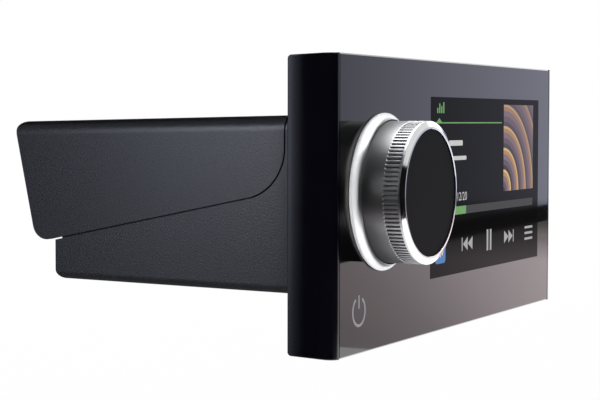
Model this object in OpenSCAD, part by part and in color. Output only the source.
// Panel-mount marine stereo: a glass front with a display and one rotary push knob, and a chassis that
// goes through the panel's cut-out. X runs to the right as seen from the front, Y to the back, Z up.
// The origin is the centre of the four stud inserts, on the plane that meets the panel.

/* [Front panel] */
// Overall width of the front
front_w = 180; // [162:1:198]
// Overall height of the front
front_h = 84; // [76:1:96]
// Depth from the panel's face to the face of the glass
bezel_d = 14.6; // [14.2:0.2:17]
// Height that the top and the bottom each lose towards the panel
edge_draft = 0.5; // [0.1:0.1:1]
// Radius of the front's back edge
back_r = 1.2; // [0.4:0.2:2]
// Thickness of the glass
glass_t = 1.8; // [1.4:0.1:2.2]
// Bevel along the top and bottom edges of the glass
glass_bevel = 0.4; // [0.1:0.1:0.8]
// Thickness of the carrier plate behind the glass
carrier_t = 2; // [1.6:0.1:2.4]
// Thickness of the housing's outer walls
housing_wall = 2; // [1.8:0.1:2.6]
// Thickness of the housing's back wall
housing_back = 2.4; // [2:0.1:2.8]
// Depth of the seat in the housing's back for the chassis
seat_d = 0.5; // [0.3:0.1:0.8]

/* [End trims] */
// Width of a trim on the front
trim_wrap = 3.5; // [3.2:0.1:5]
// Radius from the side to the front of a trim
trim_r = 3.2; // [1:0.1:3.2]
// Wall thickness of a trim
trim_wall = 2.2; // [1.6:0.1:2.6]
// How far the side of a trim curves in at its back edge
trim_crown = 0.5; // [0.1:0.1:0.8]
// Seam between a trim and the glass
trim_seam = 0.4; // [0.2:0.1:0.8]
// Length of a snap hook on a trim
hook_l = 8; // [5:0.5:10]

/* [Display] */
// Distance from the left end of the front to the lit picture
screen_left = 66.8; // [64:0.2:72]
// Distance from the lit picture to the right end of the front
screen_right = 14.8; // [13:0.2:20]
// Middle of the lit picture above the front's middle
screen_z = 2.8; // [0:0.1:4]
// Height of the lit picture
screen_h = 56; // [48:0.5:58]
// Border of the display module around the picture
screen_border = 4; // [3:0.5:5]
// Thickness of the touch sensor
touch_t = 0.7; // [0.4:0.1:1]
// Thickness of the liquid crystal cell
cell_t = 1.1; // [0.8:0.1:1.6]
// Thickness of the backlight
backlight_t = 2.2; // [1.6:0.1:2.4]
// Sheet thickness of the display's steel frame
frame_t = 0.4; // [0.3:0.1:0.6]

/* [Knob] */
// Distance from the left end of the front to the knob's axis
knob_inset = 32; // [30:0.5:34]
// Knob axis above the front's middle
knob_z = 3; // [0:0.5:6]
// Radius of the knob's shell
knob_r = 20.4; // [18:0.2:21]
// How far the knob stands out from the glass
knob_h = 15.2; // [14:0.2:18]
// Wall thickness of the shell
shell_wall = 1.6; // [1.2:0.1:2]
// Radial width of the polished bevel
bevel_w = 1.7; // [1:0.1:2.4]
// Height of the polished bevel
bevel_h = 0.9; // [0.6:0.1:1.5]
// How far the cap lies below the bevel's edge
cap_sink = 0.3; // [0.1:0.1:0.6]
// Thickness of the cap
cap_t = 1.7; // [1.2:0.1:2]
// Flare of the base ring beyond the shell
base_flare = 2.3; // [1.6:0.1:3]
// Height of the base ring
base_h = 3; // [1.6:0.1:3.4]
// Rim height of the base ring
base_rim = 0.6; // [0.4:0.1:1.2]
// Gap around the shell where it runs inside the base ring
knob_gap = 0.35; // [0.3:0.05:0.6]
// How far the knob can be pressed in
press_travel = 0.6; // [0.3:0.1:0.8]
// Radius of the encoder's shaft
shaft_r = 3; // [2.5:0.1:3.2]
// Radius of the encoder's threaded bush
bush_r = 4.5; // [4.2:0.1:5]
// Side length of the encoder's body
encoder_w = 14; // [13:0.5:16]
// Running clearance on the shaft and the plunger
run_gap = 0.05; // [0.02:0.01:0.08]

/* [Power key] */
// Distance from the left end of the front to the middle of the power key
key_inset = 16.1; // [15:0.1:18]
// Height of the power key above the bottom of the front
key_up = 12; // [11:0.1:14]
// Side length of the conductive pad behind the key
pad_w = 4; // [3:0.2:4.4]

/* [Chassis] */
// How far the front stands out past the chassis at each end
chassis_inset = 5; // [5:0.5:7]
// Height of the chassis at the front
chassis_h = 50; // [48:1:54]
// How much the top falls towards the back
top_fall = 1.9; // [0.5:0.1:2.6]
// How much the bottom rises towards the back
bottom_rise = 0.95; // [0.3:0.05:1.4]
// How far the cover's top stands out past the back of the tray
hood = 15; // [12:0.2:18]
// How far the cover's back edge leans forward from top to bottom
cover_lean = 7.8; // [2:0.2:9]
// Start of the upper cover behind the panel's face
cover_y = 3.4; // [3:0.1:5]
// Height of the seam line below the chassis middle at the back of the cover
seam_low = 13.3; // [10:0.1:15]
// Height of the seam line above the chassis middle at the front of the cover
seam_high = 4.1; // [0:0.1:8]
// Radius where the seam turns up at the front
seam_r = 14.5; // [10:0.5:18]
// Width of the seam between cover and tray
seam_gap = 0.5; // [0.3:0.1:0.8]
// Radius of the cover's upper back corner
cover_top_r = 2.2; // [1.6:0.2:6]
// Radius of the cover's lower back corner
cover_low_r = 5; // [4:0.5:10]
// Fillet along the cover's upper edges
cover_fillet = 4.4; // [2:0.2:4.6]
// Wall thickness of the cover
cover_wall = 1.8; // [1.5:0.1:2.2]
// Depth of the lower tray behind the panel's face
tray_d = 81.2; // [73:0.2:90]
// Radius of the tray's lower back corner
tray_r = 3; // [2:0.5:5]
// Fillet along the tray's lower edges
tray_fillet = 2.5; // [1.5:0.5:3.5]
// Thickness of the tray's lip inside the cover
lip_t = 1.5; // [1:0.1:2]
// How far the lip stands above the seam
lip_h = 2.4; // [1.6:0.2:3]

/* [Rear panel] */
// Thickness of the rear panel
rear_t = 2.4; // [2:0.1:3]
// How far the rear panel lies inside the tray's back edge
rear_sink = 1.2; // [0.6:0.1:2]
// Height of the socket row above the chassis middle
socket_z = 2; // [0:0.5:4]
// How far the sockets stand out behind the rear panel
socket_out = 8; // [6:0.5:8]
// Bore radius of the aerial socket
aerial_r = 4.25; // [3.8:0.05:4.6]
// Outer radius of the round bus socket
bus_r = 6; // [5.6:0.1:7]

/* [Panel mounting] */
// Distance from the ends of the front to the studs
stud_in_x = 8; // [7.5:0.1:9]
// Distance from the top and bottom of the front to the studs
stud_in_z = 7; // [6.6:0.1:9]
// Tapped radius of a stud insert
stud_r = 1.65; // [1.2:0.05:2]
// Outer radius of a stud insert
insert_r = 2.8; // [2.5:0.1:3]
// Length of a stud insert
insert_l = 5; // [4:0.2:5.6]

/* [Electronics] */
// Thickness of the circuit boards
board_t = 1.6; // [1.2:0.1:1.8]
// Height of the main board above the tray's floor
board_lift = 5; // [4:0.2:7]
// Radius of a filter capacitor
cap_can_r = 6.3; // [5:0.1:6.5]
// Height of a filter capacitor
cap_can_h = 22; // [16:0.5:25]

/* [Hidden] */
$fn = 64;

// Steps in each rounded corner of an outline
arc_steps = 10;
// Assembly gap between parts that slide together by hand
fit = 0.15;
// Overlap that lets a cut pass through a face
cut = 1;

// Levels along Y, from the glass back to the front board
y_face = -bezel_d;
y_glass = y_face + glass_t;
y_rim = y_glass + carrier_t;
board_pad = 0.8;
y_board_back = -housing_back - board_pad;
y_board = y_board_back - board_t;

// Places on the front, from the front's own size
knob_x = knob_inset - front_w / 2;
key_x = key_inset - front_w / 2;
key_z = key_up - front_h / 2;
screen_w = front_w - screen_left - screen_right;
screen_x = (screen_left - screen_right) / 2;
stud_dx = front_w - 2 * stud_in_x;
stud_dz = front_h - 2 * stud_in_z;
chassis_w = front_w - 2 * chassis_inset;
cover_d = tray_d + hood;

// Front housing and what sits in it
housing_x = front_w / 2 - trim_wall - fit;
pocket_x = housing_x - housing_wall;
pocket_z = half_h(0) - housing_wall;
glass_x = front_w / 2 - trim_wrap - trim_seam;
boss_r = insert_r + 1.2;
boss_l = insert_l + 1;
window_x = 40;
window_z = 10;
skirt_t = 1.8;
skirt_l = 5.6;
skirt_z = 24;
carrier_screw_z = 14;
carrier_screw_y = y_rim + skirt_l / 2 + 0.4;
carrier_screw_r = 1.25;
carrier_head_r = 2.2;
carrier_head_h = 1.1;
hook_rows = [-27, 0, 27];
hook_in = 1.7;
hook_t = 1.6;
hook_y = -4.4;
gasket_w = 1.4;
gasket_t = 1;
gasket_edge = 0.5;
front_board_x = pocket_x - 7;
front_board_z = pocket_z - 3.5;
front_screw_x = front_board_x - 12.6;
front_screw_z = front_board_z - 9;
front_screw_r = 1.25;
front_screw_len = board_t + board_pad + housing_back - seat_d - 0.4;

// Display module
display_w = screen_w + 2 * screen_border;
display_h = screen_h + 2 * screen_border;
display_gap = 0.3;
y_cell = y_glass + touch_t;
y_light = y_cell + cell_t;
y_frame = y_light + backlight_t + frame_t;
link_w = 24;
link_h = 5;

// Knob and encoder heights, measured outwards from the face of the glass
h_rim = -(glass_t + carrier_t);
h_board = y_face - y_board;
can_wall = 0.8;
rotor_r = 5.2;
rotor_t = 1.6;
rotor_gap = 0.4;
shaft_flat = 0.6;
rotor_top = h_rim - can_wall - rotor_gap;
shaft_end = rotor_top - rotor_t - 0.1;
flat_top = rotor_top + press_travel + rotor_gap / 2;
switch_top = shaft_end - press_travel - 0.1;
switch_w = 6.5;
plunger_r = 1.6;
plunger_l = press_travel + 0.9;
plunger_well = press_travel + 1;
seal_t = 0.8;
washer_t = 0.5;
nut_t = 2.2;
nut_r = bush_r + 2.4;
bush_top = seal_t + washer_t + nut_t + 0.5;
shell_low = press_travel + 0.4;
shell_top = knob_h - bevel_h;
cap_r = knob_r - bevel_w - 0.6;
cap_low = knob_h - cap_sink - cap_t;
insert_t = 3.3;
hub_r = 6;
hub_low = bush_top + press_travel + 0.5;
shaft_top = cap_low - 1.2;
base_bore = knob_r + knob_gap;
base_r = knob_r + base_flare;
base_lip = 0.2;

// Chassis levels
z_top = chassis_h / 2;
z_bottom = -chassis_h / 2;
z_ceiling = z_top - top_fall - cover_wall;
floor_t = bottom_rise + 1.7;
z_floor = z_bottom + floor_t;
top_angle = atan(top_fall / cover_d);
bottom_angle = atan(bottom_rise / tray_d);
cover_in = chassis_w / 2 - cover_wall;
lip_gap = 0.3;
tray_in = cover_in - lip_gap;
lip_in = tray_in - lip_t;
seam_back_y = cover_d - cover_lean;
seam_slope = (seam_high + seam_low) / (seam_back_y - cover_y);
seam_drop = seam_gap * sqrt(1 + seam_slope * seam_slope);
lip_rise = lip_h * sqrt(1 + seam_slope * seam_slope);
y_rear = tray_d - rear_sink;
y_rear_in = y_rear - rear_t;
// Inner face of the tray's front wall, in line with the seam
y_front_in = cover_y - seam_gap;

// Posts, blocks and screws of the chassis
post_r = 3.6;
post_x = lip_in - post_r - 4;
post_y = [13, tray_d - 23];
post_boss_h = 3;
z_post = z_floor + post_boss_h;
m3_r = 1.5;
m3_head_r = 2.75;
m3_head_h = 1.8;
m3_pilot = m3_r + 0.02;
cover_screw_head = floor_t - 0.3;
cover_screw_len = 12;
block = 8;
block_x = lip_in - block / 2;
block_low_z = z_floor + block / 2;
block_high_z = z_ceiling - block / 2;
rear_screw_len = 9;
chassis_screw_x = lip_in - 4.4;
chassis_screw_z = 15;
chassis_screw_len = y_front_in + seat_d + 4.5;
chassis_boss_r = 3.2;
chassis_boss_l = 6.4;

// Main board and what stands on it
main_x = lip_in - 3;
main_y0 = y_front_in + 4;
main_y1 = y_rear_in - block - 2;
main_d = main_y1 - main_y0;
z_main = z_floor + board_lift;
z_main_top = z_main + board_t;
main_screw_x = main_x - 12;
main_screw_y = [main_y0 + 5, main_y1 - 5];
main_screw_len = board_t + 4;
standoff_r = 3;
rib_t = 8;
rib_w = 1.28 * main_x;
rib_y = main_y1 - rib_t - 4;
rib_low = z_main_top + 3;
chip_w = 30;
chip_t = 4;
chip_h = 18;
clamp_w = 44;
clamp_t = 2;
clamp_h = 6;
clamp_z = z_main_top + chip_h * 0.6;
clamp_screw_x = clamp_w / 2 - 4;
clamp_screw_len = clamp_t + chip_t + 5;
cap_can_x = -0.8 * main_x;
cap_can_y = main_y0 + 0.34 * main_d;
cap_can_gap = 1.4;
coil_w = 10;
coil_h = 10;
coil_x = 0.446 * main_x;
coil_step = 0.148 * main_x;
coil_y = rib_y - 10;
tuner = [26, 0.24 * main_d, 8];
tuner_x = -0.76 * main_x;
tuner_y = main_y0 + 0.62 * main_d;
wireless = [16, 0.26 * main_d, 3];
wireless_x = main_x - 18;
wireless_y = main_y0 + 0.33 * main_d;
shield = [0.44 * main_x, 0.36 * main_d, 4];
shield_x = 0.13 * main_x;
shield_y = main_y0 + 0.42 * main_d;
shield_t = 0.4;
ribbon_w = 30;
ribbon_t = 0.3;
ribbon_bend = 4;
ribbon_z = 0;
ribbon_y = main_y0 + 6;
ribbon_socket_t = 4;

// Sockets on the rear panel: middle along X, width and height of the shroud
socket_wall = 1.5;
socket_in = 7;
socket_floor = 4;
flange = 2;
flange_t = 1.2;
pin_r = 0.5;
pin_l = socket_in - socket_floor + rear_t + 0.5;
power_x = 0.663 * lip_in;
power_w = 34;
power_h = 15;
line_x = 0.172 * lip_in;
line_w = 25;
line_h = 13;
network_x = -0.197 * lip_in;
network_w = 16;
network_h = 14;
bus_x = -0.516 * lip_in;
bus_wall = 1.2;
aerial_x = -0.811 * lip_in;
aerial_wall = 1.75;
y_socket = y_rear + socket_out;
y_socket_floor = y_rear_in - socket_in + socket_floor;

// Half of the front's height at a depth y
function half_h(y) = front_h / 2 - edge_draft * (y - y_face) / bezel_d;

// Heights of the chassis underside and of the seam at a depth y
function bottom_at(y) = z_bottom + bottom_rise * y / tray_d;
function seam_at(y) = seam_high - seam_slope * (y - cover_y);

// A point turned about the origin by an angle
function turned(p, a) = [p.x * cos(a) - p.y * sin(a), p.x * sin(a) + p.y * cos(a)];
function unit(v) = v / norm(v);

// The corner b of an outline between a and c, rounded with radius r
function corner(a, b, c, r) =
    let (
        u = unit(a - b),
        w = unit(c - b),
        half = acos(u * w) / 2,
        centre = b + unit(u + w) * r / sin(half),
        start = b + u * r / tan(half) - centre,
        side = u.x * w.y - u.y * w.x > 0 ? -1 : 1
    )
    r == 0 ? [b]
        : [for (i = [0 : arc_steps]) centre + turned(start, side * (180 - 2 * half) * i / arc_steps)];

// An outline with every corner rounded by its own radius
function rounded(pts, radii) =
    let (n = len(pts))
    [for (i = [0 : n - 1]) each corner(pts[(i + n - 1) % n], pts[i], pts[(i + 1) % n], radii[i])];

// Outlines in Y and Z

// The front's side outline between two depths
function front_outline(y0, y1, r) =
    rounded([[y0, half_h(y0)], [y1, half_h(y1)], [y1, -half_h(y1)], [y0, -half_h(y0)]], [0, r, r, 0]);

// The upper cover, from its front edge along the top and back along the seam
function cover_outline() = rounded(
    [[cover_y, z_top - top_fall * cover_y / cover_d], [cover_d, z_top - top_fall],
     [seam_back_y, -seam_low], [cover_y, seam_high]],
    [0, cover_top_r, cover_low_r, seam_r]);

// The lower tray, with its upper edge moved up by rise and its front edge moved back to match
function tray_outline(rise, back, top, r) = rounded(
    [[-seat_d, bottom_at(-seat_d)], [tray_d, bottom_at(tray_d)], [tray_d, seam_at(tray_d) + rise],
     [cover_y + back, seam_at(cover_y + back) + rise], [cover_y + back, top], [-seat_d, top]],
    [0, tray_r, 0, r, 0, 0]);

// Moves and sweeps

// An outline in Y and Z, swept along X about the middle
module along_x(w) {
    rotate([90, 0, 90]) linear_extrude(w, center = true) children();
}

// An outline in X and Z, swept along Y from y0 to y1
module along_y(y0, y1) {
    translate([0, y1, 0]) rotate([90, 0, 0]) linear_extrude(y1 - y0) children();
}

// A block given by its lower and upper corners
module box(low, high) {
    translate(low) cube(high - low);
}

// A rod along Y
module rod_y(r, x, z, y0, y1) {
    translate([x, y0, z]) rotate([-90, 0, 0]) cylinder(r = r, h = y1 - y0);
}

// A rod along Z
module rod_z(r, x, y, z0, z1) {
    translate([x, y, z0]) cylinder(r = r, h = z1 - z0);
}

// Both signs along X, and all four corners of a rectangle in X and Z
module both_x(x) {
    for (s = [-1, 1]) translate([s * x, 0, 0]) children();
}
module four(x, z) {
    for (s = [-1, 1], t = [-1, 1]) translate([s * x, 0, t * z]) children();
}

// The knob's own axes: its foot on the glass, its height outwards
module at_knob() {
    translate([knob_x, y_face, knob_z]) rotate([90, 0, 0]) children();
}

// A pan head screw with a hexagon socket: the head above zero, the shank below
module screw(r, len, head_r, head_h) {
    difference() {
        union() {
            cylinder(r = head_r, h = head_h);
            translate([0, 0, -len]) cylinder(r = r, h = len);
        }
        translate([0, 0, head_h / 2]) cylinder(r = r * 0.8, h = head_h, $fn = 6);
    }
}

// A disc or tube on the knob's axis
module tube(r_out, r_in, h0, h1) {
    translate([0, 0, h0]) difference() {
        cylinder(r = r_out, h = h1 - h0);
        translate([0, 0, -cut]) cylinder(r = r_in, h = h1 - h0 + 2 * cut);
    }
}

// A shaft section with one flat
module flatted(r, h0, h1, flat) {
    difference() {
        translate([0, 0, h0]) cylinder(r = r, h = h1 - h0);
        translate([-2 * r, r - flat, h0 - cut]) cube([4 * r, 2 * r, h1 - h0 + 2 * cut]);
    }
}

// Front: glass, trims, housing and carrier

module front_glass() {
    color("#101114") difference() {
        along_x(2 * glass_x) polygon([
            [y_glass, half_h(y_face)], [y_face + glass_bevel, half_h(y_face)],
            [y_face, half_h(y_face) - glass_bevel], [y_face, glass_bevel - half_h(y_face)],
            [y_face + glass_bevel, -half_h(y_face)], [y_glass, -half_h(y_face)]]);
        at_knob() translate([0, 0, -glass_t - cut]) cylinder(r = bush_r + 0.5, h = glass_t + 2 * cut);
    }
}

// Plan of the left trim in X and Y: crowned side, rounded front edge, square inside
module trim_plan() {
    side_d = bezel_d - trim_r;
    polygon(concat(
        [for (i = [0 : arc_steps])
            let (y = -side_d * i / arc_steps)
            [-front_w / 2 + trim_crown * pow(1 + y / side_d, 2), y]],
        [for (i = [1 : arc_steps])
            [-front_w / 2 + trim_r, y_face + trim_r] + turned([-trim_r, 0], 90 * i / arc_steps)],
        [[-front_w / 2 + trim_wrap, y_face], [-front_w / 2 + trim_wrap, y_glass],
         [-front_w / 2 + trim_wall, y_glass], [-front_w / 2 + trim_wall, 0]]));
}

module trim_solid() {
    intersection() {
        linear_extrude(2 * front_h, center = true) trim_plan();
        along_x(2 * front_w) polygon(front_outline(y_face, 0, back_r));
    }
    for (z = hook_rows)
        box([-front_w / 2 + trim_wall, hook_y - hook_t / 2, z - hook_l / 2],
            [-front_w / 2 + trim_wall + fit + hook_in, hook_y + hook_t / 2, z + hook_l / 2]);
}

module left_trim() {
    color("#0c0d10") trim_solid();
}

module right_trim() {
    color("#0c0d10") mirror([1, 0, 0]) trim_solid();
}

// Walls, bosses and pads of the housing, before it is drilled
module housing_blank() {
    difference() {
        along_x(2 * housing_x) polygon(front_outline(y_rim, 0, back_r));
        box([-pocket_x, y_rim - cut, -pocket_z], [pocket_x, -housing_back, pocket_z]);
    }
    four(stud_dx / 2, stud_dz / 2) rod_y(boss_r, 0, 0, -boss_l, -housing_back);
    four(chassis_screw_x, chassis_screw_z) rod_y(chassis_boss_r, 0, 0, -chassis_boss_l, -housing_back);
    four(front_screw_x, front_screw_z) rod_y(3, 0, 0, y_board_back, -housing_back);
}

// The gasket, or with a higher top the groove it lies in
module gasket_ring(y1) {
    x = housing_x - gasket_edge;
    z = half_h(0) - back_r - gasket_edge;
    difference() {
        box([-x, -gasket_t, -z], [x, y1, z]);
        box([gasket_w - x, -gasket_t - cut, gasket_w - z], [x - gasket_w, y1 + cut, z - gasket_w]);
    }
}

module front_housing() {
    color("#15161a") difference() {
        housing_blank();
        box([-chassis_w / 2 - fit, -seat_d, -chassis_h / 2 - fit],
            [chassis_w / 2 + fit, cut, chassis_h / 2 + fit]);
        box([-window_x, -2 * housing_back, -window_z], [window_x, cut, window_z]);
        gasket_ring(cut);
        four(stud_dx / 2, stud_dz / 2) rod_y(insert_r, 0, 0, -insert_l, cut);
        four(chassis_screw_x, chassis_screw_z)
            rod_y(m3_pilot, 0, 0, y_front_in - chassis_screw_len - 0.3, cut);
        four(front_screw_x, front_screw_z)
            rod_y(front_screw_r + 0.02, 0, 0, y_board - cut, y_board + front_screw_len);
        for (s = [-1, 1], z = hook_rows)
            translate([s * housing_x, hook_y, z])
                cube([2 * housing_wall + cut, hook_t + 2 * fit, hook_l + 2 * fit], center = true);
        for (s = [-1, 1], z = [-carrier_screw_z, carrier_screw_z])
            translate([s * housing_x, carrier_screw_y, z]) rotate([0, s * 90, 0]) {
                translate([0, 0, -housing_wall - cut])
                    cylinder(r = carrier_screw_r + 0.1, h = housing_wall + 2 * cut);
                translate([0, 0, -carrier_head_h])
                    cylinder(r = carrier_head_r + 0.2, h = carrier_head_h + cut);
            }
    }
}

module glass_carrier() {
    skirt_x = pocket_x - fit;
    color("#202226") difference() {
        union() {
            along_x(2 * housing_x) polygon(front_outline(y_glass, y_rim, 0));
            for (s = [-1, 1])
                translate([s * (skirt_x - skirt_t / 2), y_rim + skirt_l / 2 - cut / 2, 0])
                    cube([skirt_t, skirt_l + cut, 2 * skirt_z], center = true);
        }
        box([screen_x - display_w / 2 - display_gap, y_glass - cut, screen_z - display_h / 2 - display_gap],
            [screen_x + display_w / 2 + display_gap, y_rim + cut, screen_z + display_h / 2 + display_gap]);
        at_knob() translate([0, 0, h_rim - cut]) cylinder(r = bush_r + 0.3, h = carrier_t + 2 * cut);
        box([key_x - pad_w / 2 - fit, y_glass - cut, key_z - pad_w / 2 - fit],
            [key_x + pad_w / 2 + fit, y_rim + cut, key_z + pad_w / 2 + fit]);
        for (s = [-1, 1], z = [-carrier_screw_z, carrier_screw_z])
            translate([s * skirt_x, carrier_screw_y, z]) rotate([0, s * 90, 0])
                translate([0, 0, -skirt_t - cut]) cylinder(r = carrier_screw_r + 0.02, h = skirt_t + 2 * cut);
    }
}

module carrier_screws() {
    color("silver")
        for (s = [-1, 1], z = [-carrier_screw_z, carrier_screw_z])
            translate([s * (housing_x - carrier_head_h), carrier_screw_y, z]) rotate([0, s * 90, 0])
                screw(carrier_screw_r, housing_wall - carrier_head_h + fit + skirt_t + 0.8,
                    carrier_head_r, carrier_head_h);
}

module stud_inserts() {
    color("goldenrod") four(stud_dx / 2, stud_dz / 2) difference() {
        rod_y(insert_r, 0, 0, -insert_l, 0);
        rod_y(stud_r, 0, 0, -insert_l - cut, cut);
    }
}

module panel_gasket() {
    color("#1c1c1c") gasket_ring(0);
}

// Display module

module display_slab(y0, y1, inset) {
    box([screen_x - display_w / 2 + inset, y0, screen_z - display_h / 2 + inset],
        [screen_x + display_w / 2 - inset, y1, screen_z + display_h / 2 - inset]);
}

module touch_sensor() {
    color("#5a6068") display_slab(y_glass, y_cell, 0);
}

module display_panel() {
    color("#26282c") display_slab(y_cell, y_light, frame_t + fit);
}

module display_backlight() {
    color("whitesmoke") display_slab(y_light, y_frame - frame_t, frame_t + fit);
}

module display_frame() {
    color("lightgray") difference() {
        display_slab(y_cell, y_frame, 0);
        display_slab(y_cell - cut, y_frame - frame_t, frame_t);
    }
}

module display_connector() {
    color("ivory")
        box([screen_x - link_w / 2, y_frame, screen_z - link_h / 2],
            [screen_x + link_w / 2, y_board, screen_z + link_h / 2]);
}

// Front board and power key

module front_board() {
    color("#1f5c3a") difference() {
        box([-front_board_x, y_board, -front_board_z], [front_board_x, y_board_back, front_board_z]);
        four(stud_dx / 2, stud_dz / 2) rod_y(boss_r + 0.6, 0, 0, y_board - cut, y_board_back + cut);
        four(chassis_screw_x, chassis_screw_z)
            rod_y(chassis_boss_r + 0.4, 0, 0, y_board - cut, y_board_back + cut);
        four(front_screw_x, front_screw_z)
            rod_y(front_screw_r + 0.1, 0, 0, y_board - cut, y_board_back + cut);
    }
}

module front_board_screws() {
    color("silver") four(front_screw_x, front_screw_z) translate([0, y_board, 0]) rotate([90, 0, 0])
        screw(front_screw_r, front_screw_len, 2.2, 1.4);
}

module power_key_pad() {
    color("dimgray")
        box([key_x - pad_w / 2, y_glass, key_z - pad_w / 2], [key_x + pad_w / 2, y_board, key_z + pad_w / 2]);
}

// Rotary encoder with push switch

module encoder_body() {
    color("silver") at_knob() difference() {
        translate([-encoder_w / 2, -encoder_w / 2, h_board]) cube([encoder_w, encoder_w, h_rim - h_board]);
        translate([can_wall - encoder_w / 2, can_wall - encoder_w / 2, h_board - cut])
            cube([encoder_w - 2 * can_wall, encoder_w - 2 * can_wall, h_rim - h_board - can_wall + cut]);
        translate([0, 0, h_rim - can_wall - cut]) cylinder(r = bush_r + 0.02, h = can_wall + 2 * cut);
    }
}

module encoder_bush() {
    color("gold") at_knob() tube(bush_r, shaft_r + run_gap, h_rim - can_wall, bush_top);
}

module encoder_nut() {
    color("gainsboro") at_knob() translate([0, 0, seal_t + washer_t]) difference() {
        cylinder(r = nut_r, h = nut_t, $fn = 6);
        translate([0, 0, -cut]) cylinder(r = bush_r + 0.02, h = nut_t + 2 * cut);
    }
}

module encoder_washer() {
    color("lightgray") at_knob() tube(nut_r + 1, bush_r + 0.1, seal_t, seal_t + washer_t);
}

module bush_seal() {
    color("#202020") at_knob() tube(nut_r + 1.5, bush_r + 0.05, 0, seal_t);
}

module push_switch() {
    color("#2b2b2b") at_knob() difference() {
        translate([-switch_w / 2, -switch_w / 2, h_board]) cube([switch_w, switch_w, switch_top - h_board]);
        translate([0, 0, switch_top - plunger_well])
            cylinder(r = plunger_r + run_gap, h = plunger_well + cut);
    }
}

module switch_plunger() {
    color("ivory") at_knob() translate([0, 0, shaft_end - plunger_l]) cylinder(r = plunger_r, h = plunger_l);
}

module encoder_rotor() {
    color("white") at_knob() difference() {
        translate([0, 0, rotor_top - rotor_t]) cylinder(r = rotor_r, h = rotor_t);
        flatted(shaft_r + run_gap, rotor_top - rotor_t - cut, rotor_top + cut, shaft_flat);
    }
}

module encoder_shaft() {
    color("silver") at_knob() {
        flatted(shaft_r, shaft_end, flat_top, shaft_flat);
        translate([0, 0, flat_top]) cylinder(r = shaft_r, h = hub_low + 1 - flat_top);
        flatted(shaft_r, hub_low + 1, shaft_top, shaft_flat);
    }
}

// Knob

module knob_insert() {
    color("#303236") at_knob() difference() {
        union() {
            translate([0, 0, cap_low - insert_t]) cylinder(r = knob_r - shell_wall - 0.05, h = insert_t);
            translate([0, 0, hub_low]) cylinder(r = hub_r, h = cap_low - hub_low);
        }
        translate([0, 0, hub_low - cut]) cylinder(r = shaft_r + 0.02, h = cut + 1);
        flatted(shaft_r + 0.02, hub_low + 1 - 0.01, shaft_top + 0.2, shaft_flat);
    }
}

module knob_shell() {
    color("#b9bcc0") at_knob() tube(knob_r, knob_r - shell_wall, shell_low, shell_top);
}

// Bevelled ring with a spigot inside the shell
module knob_bevel_ring() {
    color("#e8e9ea") at_knob() rotate_extrude() polygon([
        [cap_r + 0.05, cap_low], [knob_r - shell_wall - 0.05, cap_low],
        [knob_r - shell_wall - 0.05, shell_top], [knob_r, shell_top],
        [knob_r - bevel_w, knob_h], [cap_r + 0.05, knob_h]]);
}

module knob_cap() {
    color("#17181a") at_knob() translate([0, 0, cap_low]) cylinder(r = cap_r, h = cap_t);
}

// Fixed ring on the glass, with a hollow flare that rises along the shell
module knob_base_ring() {
    flare = base_r - base_bore - base_lip;
    color("#d9dbdd") at_knob() rotate_extrude() polygon(concat(
        [[base_bore, 0], [base_r, 0]],
        [for (i = [0 : arc_steps])
            let (a = 90 * i / arc_steps)
            [base_r - flare * sin(a), base_h - (base_h - base_rim) * cos(a)]],
        [[base_bore, base_h]]));
}

// Chassis: cover, tray and rear panel

// A block with two edges rounded along Y, leaning with the chassis top or underside
module rounded_edges(r, z, angle, up) {
    w = chassis_w / 2;
    far = up ? -2 * chassis_h : 2 * chassis_h;
    translate([0, 0, z]) rotate([angle, 0, 0]) along_y(-chassis_h, 2 * cover_d) {
        translate([-w, min(0, far) + (up ? 0 : r)]) square([2 * w, abs(far) - r]);
        translate([r - w, min(0, far)]) square([2 * (w - r), abs(far)]);
        for (s = [-1, 1]) translate([s * (w - r), up ? -r : r]) circle(r = r);
    }
}

module upper_cover() {
    color("#34363b") difference() {
        union() {
            difference() {
                intersection() {
                    along_x(chassis_w) polygon(cover_outline());
                    rounded_edges(cover_fillet, z_top, -top_angle, true);
                }
                box([-cover_in, -cut, -2 * chassis_h], [cover_in, 2 * cover_d, z_ceiling]);
            }
            for (y = post_y) both_x(post_x) rod_z(post_r, 0, y, z_post, z_ceiling + cut);
            both_x(block_x)
                box([-block / 2, y_rear_in - block, z_ceiling - block],
                    [block / 2, y_rear_in, z_ceiling + cut]);
            box([-rib_w / 2, rib_y, rib_low], [rib_w / 2, rib_y + rib_t, z_ceiling + cut]);
        }
        for (y = post_y) both_x(post_x)
            rod_z(m3_pilot, 0, y, z_post - cut, z_bottom + cover_screw_head + cover_screw_len + 0.5);
        both_x(block_x)
            rod_y(m3_pilot, 0, block_high_z, y_rear - rear_screw_len - 0.5, y_rear_in + cut);
        both_x(clamp_screw_x)
            rod_y(m3_pilot, 0, clamp_z, rib_y - cut, rib_y + clamp_screw_len - clamp_t - chip_t + 0.5);
    }
}

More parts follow.
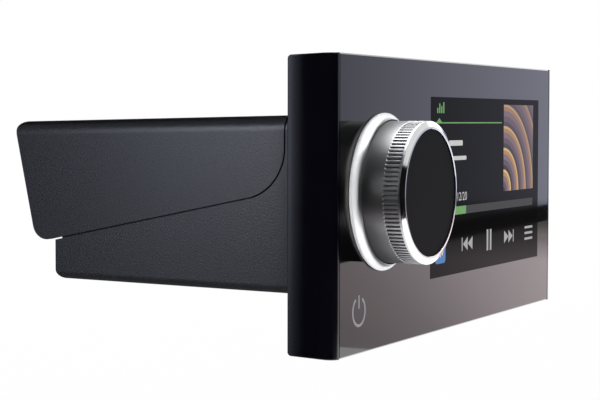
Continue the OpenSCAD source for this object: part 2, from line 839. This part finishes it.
// Side walls, floor, front wall and inner lip of the tray, before it is drilled
module tray_blank() {
    difference() {
        intersection() {
            along_x(chassis_w) polygon(tray_outline(-seam_drop, -seam_gap, bottom_at(0) + chassis_h - 0.2,
                seam_r + seam_gap));
            rounded_edges(tray_fillet, z_bottom, bottom_angle, false);
            rounded_edges(cover_fillet, z_top, -top_angle, true);
        }
        box([-tray_in, y_front_in, z_floor], [tray_in, 2 * tray_d, 2 * chassis_h]);
    }
    both_x(tray_in - lip_t / 2) intersection() {
        along_x(lip_t) polygon(tray_outline(lip_rise, lip_h, z_ceiling - lip_gap, seam_r - lip_h));
        box([-lip_t, -seat_d, z_floor - cut], [lip_t, 2 * tray_d, chassis_h]);
    }
    box([-tray_in, y_front_in - cut, z_ceiling - lip_gap - lip_t],
        [tray_in, y_front_in + seam_gap + lip_h, z_ceiling - lip_gap]);
    for (y = post_y) both_x(post_x) rod_z(post_r + 1, 0, y, z_floor - cut, z_post);
    both_x(block_x)
        box([-block / 2, y_rear_in - block, z_floor - cut], [block / 2, y_rear_in, z_floor + block]);
    for (y = main_screw_y) both_x(main_screw_x) rod_z(standoff_r, 0, y, z_floor - cut, z_main);
}

module lower_tray() {
    color("#2f3136") difference() {
        tray_blank();
        box([-window_x, -cut, -window_z], [window_x, y_front_in + cut, window_z]);
        for (y = post_y) both_x(post_x) {
            rod_z(m3_pilot + 0.1, 0, y, z_bottom - cut, z_post + cut);
            rod_z(m3_head_r + 0.2, 0, y, z_bottom - cut, z_bottom + cover_screw_head);
        }
        both_x(block_x) rod_y(m3_pilot, 0, block_low_z, y_rear - rear_screw_len - 0.5, y_rear_in + cut);
        four(chassis_screw_x, chassis_screw_z) rod_y(m3_pilot + 0.1, 0, 0, -cut, y_front_in + cut);
        for (y = main_screw_y) both_x(main_screw_x)
            rod_z(front_screw_r + 0.02, 0, y, z_main_top - main_screw_len - 0.3, z_main + cut);
    }
}

module rear_panel() {
    step_z = seam_at(y_rear_in) + lip_rise + 0.3;
    color("#1b1c1f") difference() {
        union() {
            box([-lip_in + fit, y_rear_in, z_floor], [lip_in - fit, y_rear, z_ceiling - fit]);
            box([-cover_in + fit, y_rear_in, step_z], [cover_in - fit, y_rear, z_ceiling - fit]);
        }
        socket_cut(power_x, power_w, power_h);
        socket_cut(line_x, line_w, line_h);
        socket_cut(network_x, network_w, network_h);
        rod_y(bus_r + fit, bus_x, socket_z, y_rear_in - cut, y_rear + cut);
        rod_y(aerial_r + aerial_wall + fit, aerial_x, socket_z, y_rear_in - cut, y_rear + cut);
        for (z = [block_low_z, block_high_z]) both_x(block_x)
            rod_y(m3_r + 0.15, 0, z, y_rear_in - cut, y_rear + cut);
    }
}

module socket_cut(x, w, h) {
    box([x - w / 2 - fit, y_rear_in - cut, socket_z - h / 2 - fit],
        [x + w / 2 + fit, y_rear + cut, socket_z + h / 2 + fit]);
}

module rear_panel_screws() {
    color("silver") for (z = [block_low_z, block_high_z]) both_x(block_x)
        translate([0, y_rear, z]) rotate([-90, 0, 0]) screw(m3_r, rear_screw_len, m3_head_r, m3_head_h);
}

module cover_screws() {
    color("silver") for (y = post_y) both_x(post_x)
        translate([0, y, z_bottom + cover_screw_head]) rotate([180, 0, 0])
            screw(m3_r, cover_screw_len, m3_head_r, m3_head_h);
}

module chassis_screws() {
    color("silver") four(chassis_screw_x, chassis_screw_z)
        translate([0, y_front_in, 0]) rotate([-90, 0, 0])
            screw(m3_r, chassis_screw_len, m3_head_r, m3_head_h);
}

// Main board and its parts

module main_board() {
    color("#1f5c3a") difference() {
        box([-main_x, main_y0, z_main], [main_x, main_y1, z_main_top]);
        for (y = post_y) both_x(post_x) rod_z(post_r + 0.6, 0, y, z_main - cut, z_main_top + cut);
        for (y = main_screw_y) both_x(main_screw_x)
            rod_z(front_screw_r + 0.1, 0, y, z_main - cut, z_main_top + cut);
    }
}

module main_board_screws() {
    color("silver") for (y = main_screw_y) both_x(main_screw_x)
        translate([0, y, z_main_top]) screw(front_screw_r, main_screw_len, 2.2, 1.4);
}

module amp_chip() {
    color("#222222")
        box([-chip_w / 2, rib_y - chip_t, z_main_top], [chip_w / 2, rib_y, z_main_top + chip_h]);
}

module amp_clamp() {
    y = rib_y - chip_t;
    color("silver") difference() {
        box([-clamp_w / 2, y - clamp_t, clamp_z - clamp_h / 2], [clamp_w / 2, y, clamp_z + clamp_h / 2]);
        both_x(clamp_screw_x) rod_y(m3_r + 0.15, 0, clamp_z, y - clamp_t - cut, y + cut);
    }
}

module clamp_screws() {
    color("gray") both_x(clamp_screw_x) translate([0, rib_y - chip_t - clamp_t, clamp_z]) rotate([90, 0, 0])
        screw(m3_r, clamp_screw_len, m3_head_r, m3_head_h);
}

module filter_capacitors() {
    color("#3b4a63") for (i = [0 : 2])
        rod_z(cap_can_r, cap_can_x + i * (2 * cap_can_r + cap_can_gap), cap_can_y,
            z_main_top, z_main_top + cap_can_h);
}

module filter_inductors() {
    color("#4a4038") for (i = [0 : 3])
        translate([coil_x + i * coil_step, coil_y, z_main_top]) difference() {
            translate([-coil_w / 2, -coil_w / 2, 0]) cube([coil_w, coil_w, coil_h]);
            translate([0, 0, coil_h - 1.2]) cylinder(r = coil_w * 0.36, h = 2);
        }
}

// A block that stands on the main board, given by its middle and its size
module on_board(x, y, size) {
    translate([x - size.x / 2, y - size.y / 2, z_main_top]) cube(size);
}

module tuner_module() {
    color("silver") on_board(tuner_x, tuner_y, tuner);
}

module wireless_module() {
    color("gainsboro") on_board(wireless_x, wireless_y, wireless);
}

module processor_shield() {
    color("silver") difference() {
        on_board(shield_x, shield_y, shield);
        translate([0, 0, -shield_t]) on_board(shield_x, shield_y, shield - 2 * [shield_t, shield_t, 0]);
    }
}

// Flat cable from the front board through both windows, down to the main board
module ribbon_path() {
    r = ribbon_bend;
    y0 = y_board_back + ribbon_socket_t;
    z1 = z_main_top + ribbon_socket_t;
    translate([y0, ribbon_z - ribbon_t / 2]) square([ribbon_y - r - y0, ribbon_t]);
    translate([ribbon_y - ribbon_t / 2, z1]) square([ribbon_t, ribbon_z - r - z1]);
    translate([ribbon_y - r, ribbon_z - r]) intersection() {
        difference() {
            circle(r = r + ribbon_t / 2);
            circle(r = r - ribbon_t / 2);
        }
        square(2 * r);
    }
}

module main_ribbon() {
    color("white") along_x(ribbon_w) ribbon_path();
}

module ribbon_sockets() {
    w = ribbon_w / 2 + 2;
    color("ivory") {
        box([-w, y_board_back, ribbon_z - 2], [w, y_board_back + ribbon_socket_t, ribbon_z + 2]);
        box([-w, ribbon_y - 2, z_main_top], [w, ribbon_y + 2, z_main_top + ribbon_socket_t]);
    }
}

// Sockets on the rear panel

// A shrouded socket with rows of pins
module shroud(x, w, h, cols, rows, pitch) {
    color("#0f0f10") translate([x, 0, socket_z]) {
        difference() {
            union() {
                box([-w / 2, y_rear_in - socket_in, -h / 2], [w / 2, y_socket, h / 2]);
                box([-w / 2 - flange, y_rear, -h / 2 - flange],
                    [w / 2 + flange, y_rear + flange_t, h / 2 + flange]);
            }
            box([socket_wall - w / 2, y_socket_floor, socket_wall - h / 2],
                [w / 2 - socket_wall, y_socket + cut, h / 2 - socket_wall]);
        }
        for (i = [0 : cols - 1], j = [0 : rows - 1])
            rod_y(pin_r, (i - (cols - 1) / 2) * pitch, (j - (rows - 1) / 2) * pitch,
                y_socket_floor - 0.5, y_socket_floor + pin_l);
    }
}

module power_socket() {
    shroud(power_x, power_w, power_h, 7, 2, 4);
}

module line_socket() {
    shroud(line_x, line_w, line_h, 6, 2, 3);
}

module network_socket() {
    shroud(network_x, network_w, network_h, 8, 1, 1.27);
}

module bus_socket() {
    color("#0f0f10") translate([bus_x, 0, socket_z]) {
        difference() {
            union() {
                rod_y(bus_r, 0, 0, y_rear_in - socket_in, y_socket);
                rod_y(bus_r + 3, 0, 0, y_rear, y_rear + flange_t);
            }
            rod_y(bus_r - bus_wall, 0, 0, y_socket_floor, y_socket + cut);
        }
        for (i = [0 : 4]) rotate([0, 72 * i, 0])
            rod_y(pin_r, bus_r - bus_wall - 2.2, 0, y_socket_floor - 0.5, y_socket_floor + pin_l);
    }
}

module aerial_socket() {
    r = aerial_r + aerial_wall;
    color("silver") difference() {
        union() {
            rod_y(r, aerial_x, socket_z, y_rear_in - socket_in, y_socket);
            rod_y(r + 3, aerial_x, socket_z, y_rear, y_rear + flange_t);
        }
        rod_y(aerial_r, aerial_x, socket_z, y_socket_floor, y_socket + cut);
        rod_y(0.8, aerial_x, socket_z, y_socket_floor - 2, y_socket_floor + cut);
    }
}

front_glass();
left_trim();
right_trim();
front_housing();
glass_carrier();
touch_sensor();
display_panel();
display_backlight();
display_frame();
display_connector();
front_board();
front_board_screws();
carrier_screws();
stud_inserts();
panel_gasket();
power_key_pad();
encoder_body();
encoder_bush();
encoder_nut();
encoder_washer();
bush_seal();
knob_base_ring();
push_switch();
switch_plunger();
encoder_rotor();
encoder_shaft();
knob_insert();
knob_shell();
knob_bevel_ring();
knob_cap();
upper_cover();
lower_tray();
rear_panel();
rear_panel_screws();
cover_screws();
chassis_screws();
main_board();
main_board_screws();
amp_chip();
amp_clamp();
clamp_screws();
filter_capacitors();
filter_inductors();
tuner_module();
wireless_module();
processor_shield();
ribbon_sockets();
main_ribbon();
power_socket();
line_socket();
network_socket();
bus_socket();
aerial_socket();
